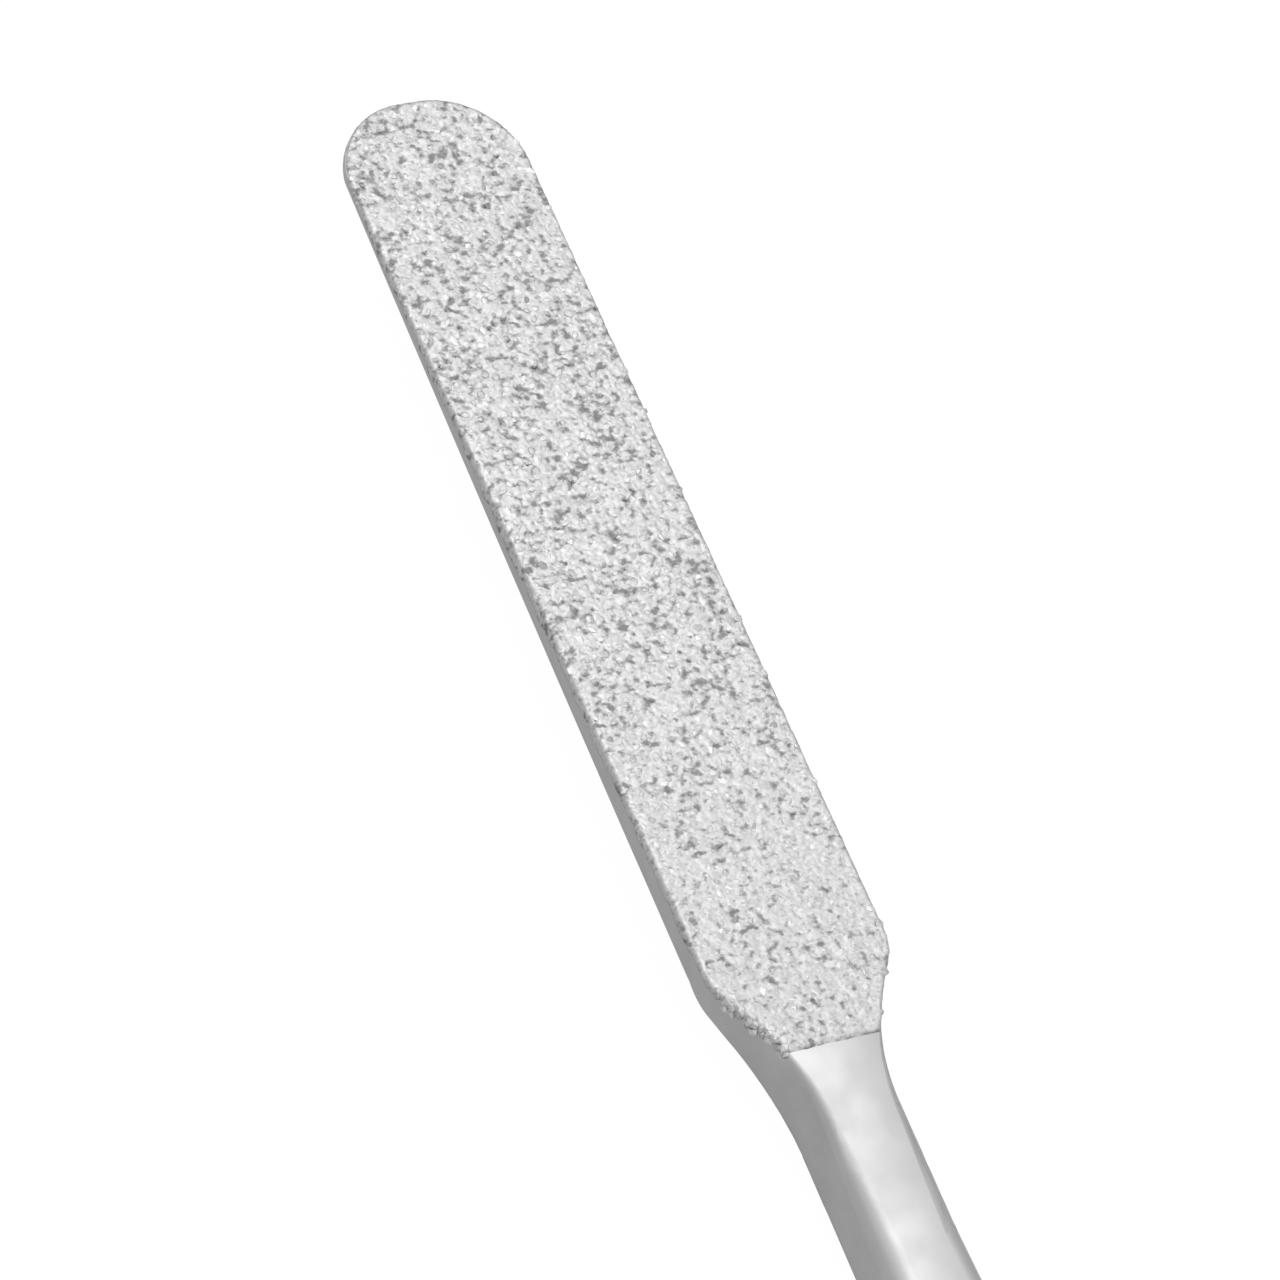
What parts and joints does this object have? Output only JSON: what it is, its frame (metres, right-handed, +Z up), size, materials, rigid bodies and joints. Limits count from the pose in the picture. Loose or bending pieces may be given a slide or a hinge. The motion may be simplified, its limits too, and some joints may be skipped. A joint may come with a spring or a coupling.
{
  "type": "bone file",
  "caption": "Surgical bone file: a flat round-tipped blade with a grit-coated front face, on a slim stem and a plain flat-sided steel handle.",
  "frame": {"origin": "centre of the bounding box in plan, on the surface that the file lies on", "axes": "+X from the blade's tip to the butt of the handle, +Z up out of the coated front face, +Y across the blade"},
  "size_m": [0.1772, 0.009, 0.0062],
  "materials": {
    "satin_steel": "satin bead-blasted stainless steel, soft highlights",
    "grit": "one dense layer of fine angular abrasive grains in a bright metal bond"
  },
  "bodies": {
    "root": {"file_body": "satin_steel", "grit_coating": "grit"}
  },
  "joints": []
}
